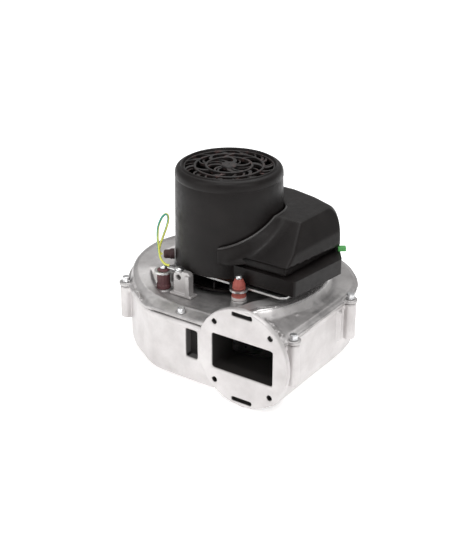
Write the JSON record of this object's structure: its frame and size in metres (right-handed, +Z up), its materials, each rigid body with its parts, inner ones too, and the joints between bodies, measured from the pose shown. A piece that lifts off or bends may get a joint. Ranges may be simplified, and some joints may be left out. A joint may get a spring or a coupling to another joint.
{
  "type": "combustion fan",
  "caption": "Gas boiler combustion fan: spiral cast housing, round outlet flange with a square port, capped motor on rubber isolators and a side electronics box.",
  "frame": {"origin": "centre of the bounding box in X and Y, on the plane of the lowest face (the inlet pad under the housing)", "axes": "+Z up along the motor shaft, -Y out of the outlet flange, +X toward the outlet flange and the electronics box"},
  "size_m": [0.2408, 0.2258, 0.1945],
  "materials": {
    "cast_aluminium": "as cast, satin",
    "impeller_aluminium": "satin",
    "sheet_steel": "zinc plated",
    "bright_steel": "zinc plated",
    "dark_steel": "laminated, dark",
    "black_plastic": "fine texture",
    "red_silicone": "matt",
    "black_rubber": "matt",
    "brown_rubber": "matt",
    "copper_wire": "varnished winding",
    "circuit_board": "lacquered",
    "capacitor_sleeve": "sleeve",
    "white_plastic": "plain",
    "green_plastic": "plain",
    "earth_insulation": "two-colour insulation"
  },
  "bodies": {
    "housing": {"bearing_carrier": "cast_aluminium", "cable_grommet": "brown_rubber", "capacitor_1": "capacitor_sleeve", "capacitor_2": "capacitor_sleeve", "choke_coil": "copper_wire", "cover_screw_1": "bright_steel", "cover_screw_2": "bright_steel", "cover_screw_3": "bright_steel", "cover_screw_4": "bright_steel", "cover_screw_5": "bright_steel", "cover_screw_6": "bright_steel", "earth_post": "cast_aluminium", "earth_screw": "bright_steel", "earth_wire": "earth_insulation", "electronics_base": "black_plastic", "electronics_lid": "black_plastic", "housing_cover": "cast_aluminium", "housing_seal": "black_rubber", "inlet_nozzle": "sheet_steel", "isolator_1": "red_silicone", "isolator_2": "red_silicone", "isolator_3": "red_silicone", "isolator_screw_1": "bright_steel", "isolator_screw_2": "bright_steel", "isolator_screw_3": "bright_steel", "lower_bearing_outer": "bright_steel", "lower_housing": "cast_aluminium", "motor_cap": "black_plastic", "motor_plate": "sheet_steel", "pcb": "circuit_board", "power_header": "white_plastic", "power_module": "black_plastic", "ring_terminal": "bright_steel", "shaft_seal": "black_rubber", "signal_terminal": "green_plastic", "stator_core": "dark_steel", "upper_bearing_outer": "bright_steel", "upper_bracket": "black_plastic", "winding_lower": "copper_wire", "winding_upper": "copper_wire"},
    "rotor": {"shaft": "bright_steel", "impeller": "impeller_aluminium", "impeller_nut": "bright_steel", "cooling_fan": "black_plastic", "rotor_core": "dark_steel", "lower_bearing_inner": "bright_steel", "upper_bearing_inner": "bright_steel"}
  },
  "joints": [
    {"name": "rotor_spin", "type": "hinge", "parent": "housing", "child": "rotor", "pos_m": [-0.01291, -0.0129, 0.061], "axis": [0, 0, 1], "continuous": true}
  ]
}
